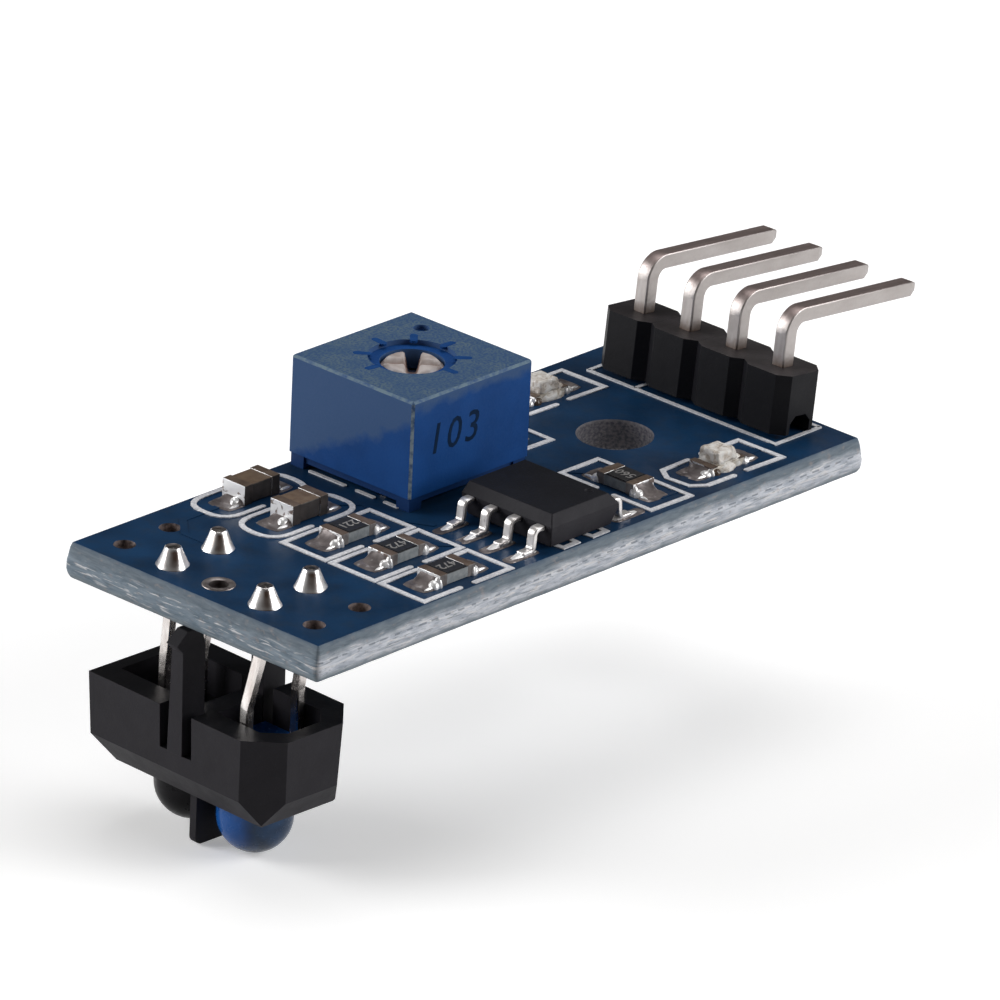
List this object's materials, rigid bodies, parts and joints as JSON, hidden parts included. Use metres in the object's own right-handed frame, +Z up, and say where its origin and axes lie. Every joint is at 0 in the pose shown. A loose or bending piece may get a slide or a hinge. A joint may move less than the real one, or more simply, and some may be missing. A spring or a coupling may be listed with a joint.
{
  "type": "infrared obstacle sensor module",
  "caption": "Small circuit board with a reflective infrared sensor below one end, a turn-to-set trimmer, comparator chip and bent pin header",
  "frame": {"origin": "centre of the mounting hole on the board's top face", "axes": "+X along the board towards the pin header, +Y across the board, +Z up from the parts side, away from the sensor"},
  "size_m": [0.0387, 0.014, 0.0161],
  "materials": {
    "black_epoxy": "black daylight-blocking epoxy, polished dome",
    "black_plastic": "matt black moulded plastic",
    "blue_epoxy": "clear blue epoxy, polished dome",
    "blue_plastic": "satin blue moulded plastic, rubbed pale at the edges",
    "board_laminate": "satin blue solder mask over woven glass laminate",
    "capacitor_ceramic": "tan fired ceramic",
    "ceramic": "fired ceramic with a carbon track",
    "chip_plastic": "matt black moulding compound",
    "end_plating": "matt tin plating",
    "header_plastic": "glass-filled black plastic",
    "lamp_lens_resin": "cloudy clear epoxy",
    "lamp_resin": "white resin base",
    "pin_metal": "tin-plated square brass wire, satin",
    "resistor_ceramic": "black overcoat on white ceramic",
    "seal_rubber": "soft rubber",
    "sealing_resin": "cast resin",
    "solder": "bright solder with a cloudy skin",
    "spring_metal": "thin spring strip",
    "tinned_metal": "tinned leadframe",
    "white_plastic": "plain white nylon"
  },
  "bodies": {
    "module": {"capacitor_1": "capacitor_ceramic", "capacitor_2": "capacitor_ceramic", "capacitor_ends_1": "end_plating", "capacitor_ends_2": "end_plating", "chip_part_solder": "solder", "circuit_board": "board_laminate", "comparator_body": "chip_plastic", "comparator_lead_1": "tinned_metal", "comparator_lead_2": "tinned_metal", "comparator_lead_3": "tinned_metal", "comparator_lead_4": "tinned_metal", "comparator_lead_5": "tinned_metal", "comparator_lead_6": "tinned_metal", "comparator_lead_7": "tinned_metal", "comparator_lead_8": "tinned_metal", "comparator_solder": "solder", "detector_lead_1": "tinned_metal", "detector_lead_2": "tinned_metal", "emitter_lead_1": "tinned_metal", "emitter_lead_2": "tinned_metal", "header_pin_1": "pin_metal", "header_pin_2": "pin_metal", "header_pin_3": "pin_metal", "header_pin_4": "pin_metal", "header_solder": "solder", "header_strip": "header_plastic", "output_lamp_base": "lamp_resin", "output_lamp_ends": "end_plating", "output_lamp_lens": "lamp_lens_resin", "power_lamp_base": "lamp_resin", "power_lamp_ends": "end_plating", "power_lamp_lens": "lamp_lens_resin", "resistor_1": "resistor_ceramic", "resistor_2": "resistor_ceramic", "resistor_3": "resistor_ceramic", "resistor_4": "resistor_ceramic", "resistor_5": "resistor_ceramic", "resistor_ends_1": "end_plating", "resistor_ends_2": "end_plating", "resistor_ends_3": "end_plating", "resistor_ends_4": "end_plating", "resistor_ends_5": "end_plating", "sensor_detector": "black_epoxy", "sensor_emitter": "blue_epoxy", "sensor_housing": "black_plastic", "sensor_solder": "solder", "trimmer_base_seal": "sealing_resin", "trimmer_body": "blue_plastic", "trimmer_element": "ceramic", "trimmer_pin_1": "tinned_metal", "trimmer_pin_2": "tinned_metal", "trimmer_pin_3": "tinned_metal", "trimmer_seal_ring": "seal_rubber", "trimmer_solder": "solder"},
    "rotor": {"trimmer_rotor": "white_plastic", "trimmer_wiper": "spring_metal"}
  },
  "joints": [
    {"name": "trimmer_turn", "type": "hinge", "parent": "module", "child": "rotor", "pos_m": [-0.00875, 0.00325, 0.0039], "axis": [0, 0, 1], "range_deg": [-130, 130]}
  ]
}
